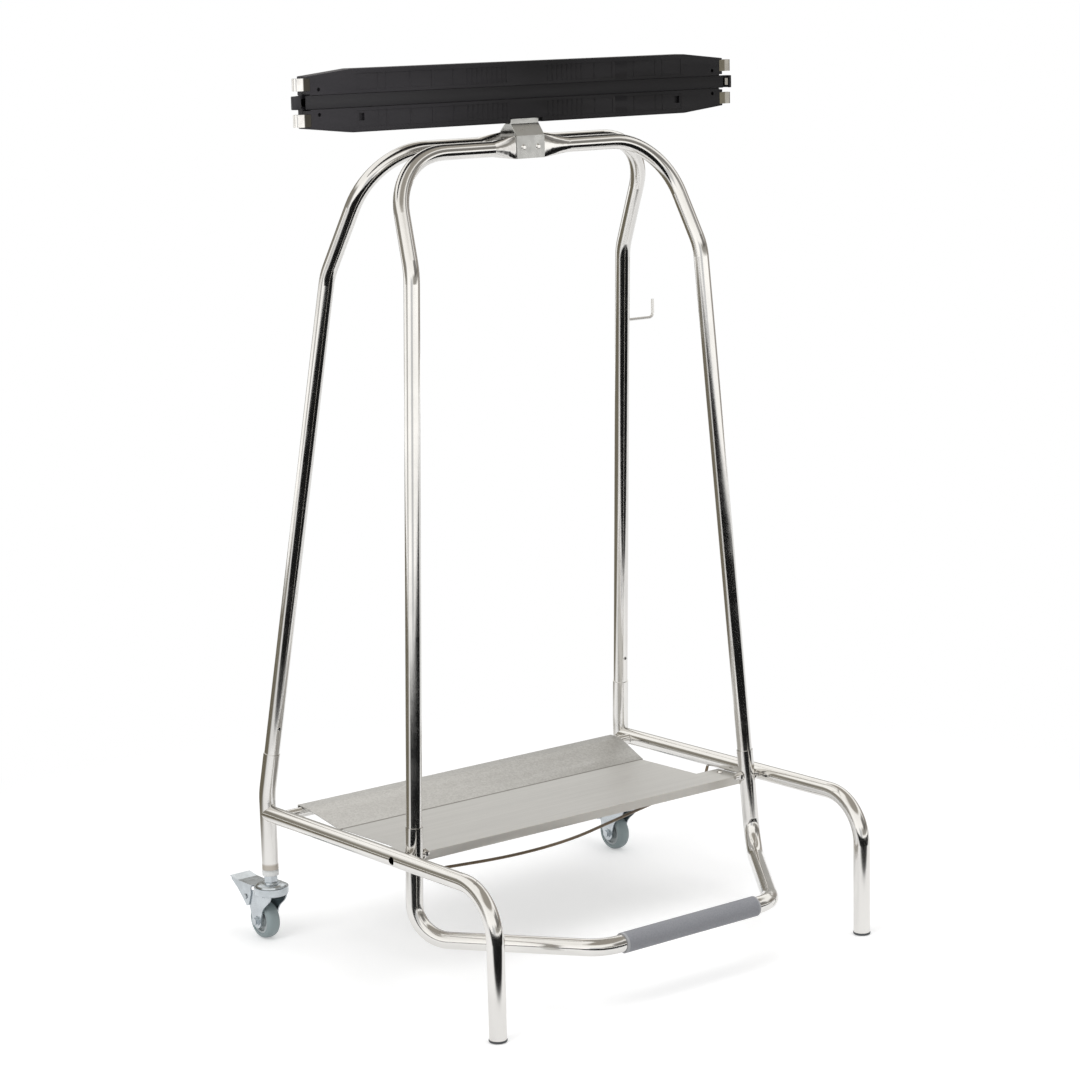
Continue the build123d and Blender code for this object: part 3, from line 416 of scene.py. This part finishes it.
def build_plate():
    """Steel of the clamp's ends: bright round the eyes, dark where it lies on the strip, and painted darker
    on the right as painted shade.
    """
    material = surface("end_plate_steel", (0.80, 0.785, 0.76), metallic=1.0, rough=0.22, rough_swing=0.05,
                       rough_scale=90, bump=0.10, bump_scale=700, tone=0.06, tone_scale=60)
    tree = material.node_tree
    from_middle = math_node(tree, "ABSOLUTE", place_of(tree, 0))
    paint(material, between(tree, from_middle, 0.3355, 0.3335), (0.05, 0.046, 0.038, 1))
    # Painted shade: the right-hand plates are painted darker, standing in for their darker reflections
    painted_shade_right = between(tree, place_of(tree, 0), 0.0, 0.1)
    paint(material, multiply(tree, painted_shade_right, 0.75), (0.16, 0.145, 0.11, 1))
    return material


end_plate = build_plate()


def build_sheet():
    """Brushed sheet steel: a spangled flange with painted shade towards the right, a smooth floor, painted
    shade along the fold and a warm lip.
    """
    material = surface("shelf_sheet", (0.66, 0.66, 0.655), metallic=1.0, rough=0.42, rough_swing=0.06,
                       rough_scale=70, bump=0.08, bump_scale=700, stretch=(0.06, 1, 1))
    tree = material.node_tree
    shader = tree.nodes["Principled BSDF"]
    place = tree.nodes.new("ShaderNodeTexCoord")
    flake = node(tree, "ShaderNodeTexVoronoi")
    flake.inputs["Scale"].default_value = 480.0
    tree.links.new(place.outputs["Object"], flake.inputs["Vector"])
    grey = tree.nodes.new("ShaderNodeSeparateColor")
    tree.links.new(flake.outputs["Color"], grey.inputs[0])
    across, along = place_of(tree, 0), place_of(tree, 1)
    pale = mix_colours(tree, grey.outputs[0], (0.60, 0.595, 0.58, 1), (0.70, 0.695, 0.68, 1))
    dim = mix_colours(tree, grey.outputs[0], (0.44, 0.435, 0.42, 1), (0.54, 0.535, 0.52, 1))
    # Painted shade: the flange is painted darker from left to right
    flange = mix_colours(tree, between(tree, across, -0.25, 0.28), pale, dim)
    lines = node(tree, "ShaderNodeTexNoise", in_2=260.0, in_3=4.0)
    spread = tree.nodes.new("ShaderNodeMapping")
    spread.inputs["Scale"].default_value = (0.02, 1, 1)
    links(tree, (place.outputs["Object"], spread.inputs[0]), (spread.outputs[0], lines.inputs[0]))
    floor = mix_colours(tree, lines.outputs[0], (0.62, 0.615, 0.60, 1), (0.73, 0.725, 0.71, 1))
    colour = mix_colours(tree, between(tree, along, 0.1148, 0.1152), floor, flange)
    # Painted shade: a dark band painted just before the fold
    before_fold = between(tree, along, 0.1105, 0.1146)
    after_fold = between(tree, along, 0.1151, 0.1165, 1.0, 0.0)
    fold_shade = multiply(tree, multiply(tree, before_fold, after_fold), 0.8)
    colour = mix_colours(tree, fold_shade, colour, (0.16, 0.15, 0.13, 1))
    lip = multiply(tree, between(tree, along, -0.0530, -0.0546), 0.35)
    colour = mix_colours(tree, lip, colour, (0.62, 0.57, 0.49, 1))
    tree.links.new(colour, shader.inputs["Base Color"])
    return material


sheet = build_sheet()

FINISHES = (
    ("shelf_screws", steel),
    ("shelf_lugs", steel_dull),
    ("shelf", sheet),
    ("castor_stem", zinc),
    ("castor_fork", zinc),
    ("castor_axle", zinc),
    ("lever_pin", zinc),
    ("brake_lever", zinc),
    ("leg_socket", socket),
    ("rear_leg", leg),
    ("wheel_core", core),
    ("tyre", tyre),
    ("foot_cap", cap),
    ("pedal_sleeve", grip),
    ("spring_wire", wire),
    ("front_strip", plastic),
    ("rear_strip", plastic),
    ("front_clamp", plastic),
    ("rear_clamp", plastic),
    ("front_band", rubber),
    ("rear_band", rubber),
    ("front_end_plate", end_plate),
    ("rear_end_plate", end_plate),
    ("front_bracket", steel_plate),
    ("rear_bracket", steel_plate),
)
for name, piece in nodes.items():
    finish = next((m for start, m in FINISHES if name.startswith(start)), steel)
    for i in range(len(piece.material_slots)):
        piece.material_slots[i].material = finish


# Clamp strips and bands: one skin from the middle of the stand out over each hinge

CLAMP_Y, CLAMP_Z = 0.024, 1.107
STRIP_END, TAPER = 0.330, 0.264  # where the strip ends, and where it starts to taper
EYE_X, EYE_Y, EYE_REACH = 0.341, 0.019, 0.00635
INNER, OUTER = 0.0003, 0.0100  # the strip's flat back and its highest face, from the clamp's centre
HALF_HIGH = 0.0384
TAPER_DROP = 0.0071
CORE_HALF = 0.01  # the part round the band's groove, whose height doesn't taper
NOTCH_X, NOTCH_HALF_HIGH = 0.026, 0.0334
RIM = 0.0012
SLOPE = 0.0002
GROOVE_HALF, GROOVE_DEEP = 0.0085, 0.00145
PANELS = ((0.0302, 0.1413), (0.1457, 0.2578))
PANEL_LOW, PANEL_HIGH, PANEL_DEEP = 0.0127, 0.0323, 0.0005
RIB_RISE = 0.75  # of the panel's depth
SIDES = {"left": -1, "right": 1}


def ramp(value, low, high, soft=SLOPE):
    """1 between low and high, with short slopes outside."""
    return max(0.0, min(1.0, (value - low) / soft + 1, (high - value) / soft + 1))


def ribs_of(s):
    """Places and half-widths of the raised ribs in the panels of one half."""
    rows = [(0.036 + 0.0078 * i, 0.0007) for i in range(8)]
    rows += [(0.112, 0.0009), (0.178, 0.0009), (0.214, 0.0006), (0.226, 0.0006)]
    if s > 0:
        rows += [(0.154, 0.012)]
    return rows


def strip_depth(s, x, z):
    """How far the outer face lies below its highest plane."""
    groove = GROOVE_DEEP * ramp(abs(z), -1, GROOVE_HALF)
    panel = ramp(abs(z), PANEL_LOW, PANEL_HIGH) * max(ramp(x, start, end) for start, end in PANELS)
    rib = max(ramp(x, at - half, at + half) for at, half in ribs_of(s))
    return max(groove, PANEL_DEEP * panel * (1 - RIB_RISE * rib))


def strip_stations(s):
    """Places along one half where its outline is taken, closest together over the hinge."""
    xs = [0.0, 0.008, 0.02595, 0.02605, 0.29, 0.31, TAPER, STRIP_END]
    xs += [0.011 + 0.002 * i for i in range(14)]
    for at in PANELS[0] + PANELS[1]:
        xs += [at - SLOPE, at, at + SLOPE]
    for at, half in ribs_of(s):
        xs += [at - half - SLOPE, at - half, at + half, at + half + SLOPE]
    return sorted(set(round(x, 6) for x in xs))


def strip_rows():
    """Heights of the outline's points, from the top rim down."""
    rows = [HALF_HIGH - RIM * (1 - cos(a * pi / 8)) for a in range(5)]
    rows += [0.035, 0.0325, 0.0323, 0.022, 0.0127, 0.0125, 0.0087, 0.0085, 0.004]
    return rows + [0.0] + [-z for z in reversed(rows)]


def new_piece(name, verts, faces, finish, sharp=0.6):
    """A smooth mesh object whose edges over the angle sharp stay crisp."""
    mesh = bpy.data.meshes.new(name)
    mesh.from_pydata(verts, [], faces)
    shape = bmesh.new()
    shape.from_mesh(mesh)
    bmesh.ops.remove_doubles(shape, verts=shape.verts, dist=1e-7)
    bmesh.ops.recalc_face_normals(shape, faces=shape.faces)
    for face in shape.faces:
        face.smooth = True
    shape.to_mesh(mesh)
    shape.free()
    mesh.set_sharp_from_angle(angle=sharp)
    mesh.materials.append(finish)
    piece = bpy.data.objects.new(name, mesh)
    bpy.context.scene.collection.objects.link(piece)
    return piece


def block(low, high):
    """Corner points and faces of a box used for cutting."""
    xs, ys, zs = zip(low, high)
    verts = [(x, y, z) for x in xs for y in ys for z in zs]
    faces = [(0, 1, 3, 2), (4, 6, 7, 5), (0, 4, 5, 1), (2, 3, 7, 6), (0, 2, 6, 4), (1, 5, 7, 3)]
    return verts, faces


def drill(x, z, start, end, radius, sides=20):
    """Corner points and faces of a round bar along Y, used for cutting."""
    angles = [2 * pi * i / sides for i in range(sides)]
    verts = [(x + radius * cos(a), y, z + radius * sin(a)) for y in (start, end) for a in angles]
    faces = [tuple(range(sides)), tuple(range(2 * sides - 1, sides - 1, -1))]
    faces += [(i, (i + 1) % sides, (i + 1) % sides + sides, i + sides) for i in range(sides)]
    return verts, faces


def cut(piece, shapes):
    """Takes closed shapes out of a piece."""
    for verts, faces in shapes:
        mesh = bpy.data.meshes.new("cutter")
        mesh.from_pydata(verts, [], faces)
        shape = bmesh.new()
        shape.from_mesh(mesh)
        bmesh.ops.recalc_face_normals(shape, faces=shape.faces)
        shape.to_mesh(mesh)
        shape.free()
        cutter = bpy.data.objects.new("cutter", mesh)
        bpy.context.scene.collection.objects.link(cutter)
        change = piece.modifiers.new("cut", "BOOLEAN")
        change.operation = "DIFFERENCE"
        change.solver = "EXACT"
        change.object = cutter
        bpy.context.view_layer.update()
        changed = piece.evaluated_get(bpy.context.evaluated_depsgraph_get())
        result = bpy.data.meshes.new_from_object(changed)
        piece.modifiers.clear()
        old = piece.data
        piece.data = result
        bpy.data.meshes.remove(old)
        bpy.data.objects.remove(cutter)
    piece.data.set_sharp_from_angle(angle=0.6)


def skin_faces(stations, n):
    """Faces of a closed skin over stations that have n points each."""
    faces = [(a * n + i, a * n + (i + 1) % n, a * n + n + (i + 1) % n, a * n + n + i)
             for a in range(stations - 1) for i in range(n)]
    return faces + [tuple(range(n)), tuple(range((stations - 1) * n, stations * n))]


def build_strip(name, s, f):
    """Half of one strip: a moulded face with a groove, panels and ribs, on a flat back."""
    inner = CLAMP_Y + f * INNER
    outer = CLAMP_Y + f * OUTER
    xs = strip_stations(s)
    rows = strip_rows()
    verts = []
    for x in xs:
        half = HALF_HIGH
        if x > TAPER:
            half -= TAPER_DROP * (x - TAPER) / (STRIP_END - TAPER)
        low = NOTCH_HALF_HIGH if x < NOTCH_X else half
        for i, r in enumerate(rows):
            h = half if r > 0 else low
            z = r
            if abs(r) > CORE_HALF:
                z = CORE_HALF + (abs(r) - CORE_HALF) * (h - CORE_HALF) / (HALF_HIGH - CORE_HALF)
                z = z if r > 0 else -z
            edge = min(i, len(rows) - 1 - i)
            deep = RIM * (1 - sin(edge * pi / 8)) if edge < 4 else strip_depth(s, x, r)
            verts.append((s * x, outer - f * deep, CLAMP_Z + z))
        verts.append((s * x, inner, verts[-1][2]))
        verts.append((s * x, inner, CLAMP_Z + half))
    piece = new_piece(name, verts, skin_faces(len(xs), len(rows) + 2), plastic)

    # Pocket for the bracket's tab, seats for the end plate, two holes and the square pocket
    tab_y = CLAMP_Y + f * 0.0054
    room = 0.00115 if f > 0 else 0.0028
    shapes = [block((-0.0204, tab_y - room, CLAMP_Z - 0.036), (0.0204, tab_y + 0.00115, CLAMP_Z - 0.0264))]
    past_end = STRIP_END + 0.01
    if f < 0:
        near, far = sorted((s * (STRIP_END - 0.005), s * past_end))
        shapes.append(block((near, 0, CLAMP_Z - 0.010), (far, 0.05, CLAMP_Z + 0.010)))
        near, far = sorted((s * (STRIP_END - 0.0053), s * past_end))
        for v in (-1, 1):
            low, high = sorted((CLAMP_Z + v * 0.0138, CLAMP_Z + v * 0.0292))
            shapes.append(block((near, 0, low), (far, outer + 0.00125, high)))
    else:
        near, far = sorted((s * (STRIP_END - 0.0181), s * past_end))
        seat_low, seat_high = CLAMP_Z - 0.0047, CLAMP_Z + 0.0047
        shapes.append(block((near, inner - 0.001, seat_low), (far, inner + 0.00125, seat_high)))
    outside, inside = outer + f * 0.002, outer - f * 0.004
    for v in (-1, 1):
        shapes.append(drill(s * 0.3125, CLAMP_Z + v * 0.015, outside, inside, 0.0024))
    near, far = sorted((s * 0.247, s * 0.255))
    front, back = sorted((outside, inside))
    shapes.append(block((near, front, CLAMP_Z - 0.0245), (far, back, CLAMP_Z - 0.0155)))
    cut(piece, shapes)
    return piece


def ribbon(name, path, high, thick, finish):
    """A flat band with rounded edges that follows a path in plan, closed at both ends."""
    edge = thick * 0.45
    ring = []
    for cz, cy, first in ((1, 1, 0), (-1, 1, 90), (-1, -1, 180), (1, -1, 270)):
        for a in (0, 30, 60, 90):
            angle = (first + a) * pi / 180
            y = cy * (thick / 2 - edge) + edge * sin(angle)
            ring.append((y, cz * (high / 2 - edge) + edge * cos(angle)))
    verts = []
    for i, p in enumerate(path):
        a = path[max(0, i - 1)]
        b = path[min(len(path) - 1, i + 1)]
        across = Vector((b[1] - a[1], a[0] - b[0])).normalized()
        verts += [(p[0] + across.x * y, p[1] + across.y * y, CLAMP_Z + z) for y, z in ring]
    return new_piece(name, verts, skin_faces(len(path), len(ring)), finish, 0.9)


def band_path(s, f):
    """The band's line in plan; the rear one also goes round the eye at the strip's end."""
    y = CLAMP_Y + f * 0.0094
    path = [(s * x, y) for x in (0.0, 0.006, 0.010)]
    path += [(s * (0.012 + 0.002 * i), y) for i in range(14)]
    path += [(s * (0.06 + 0.03 * i), y) for i in range(9)]
    if f < 0:
        return path + [(s * 0.3314, y)]
    path += [(s * 0.3292, y), (s * 0.3308, y - 0.0001), (s * 0.3325, y - 0.0010)]
    path += [(s * (EYE_X - 0.0045), EYE_Y + EYE_REACH + 0.0030)]
    path += [(s * (EYE_X - 0.0010), EYE_Y + EYE_REACH + 0.0005)]
    for a in range(1, 12):
        path += [(s * (EYE_X + EYE_REACH * sin(a * pi / 12)), EYE_Y + EYE_REACH * cos(a * pi / 12))]
    return path + [(s * EYE_X, EYE_Y - EYE_REACH), (s * (EYE_X - 0.001), EYE_Y - EYE_REACH)]


# Each strip and band becomes one skin per side, reaching over the hinge between 12 and 34 mm from the middle,
# in place of the imported pieces
for which, f, hub, jaw in (("front", -1, "front_jaw", "front_jaw"), ("rear", 1, "base", "rear_jaw")):
    for side, s in SIDES.items():
        skin = build_strip(f"{which}_strip_skin_{side}", s, f)
        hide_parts(f"{which}_strip_{side}", f"{which}_clamp_middle")
        run = ribbon(f"{which}_band_skin_{side}", band_path(s, f), 0.016, 0.0014, rubber)
        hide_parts(f"{which}_band_{side}", f"{which}_band_middle")
        for piece in (skin, run):
            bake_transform(piece)
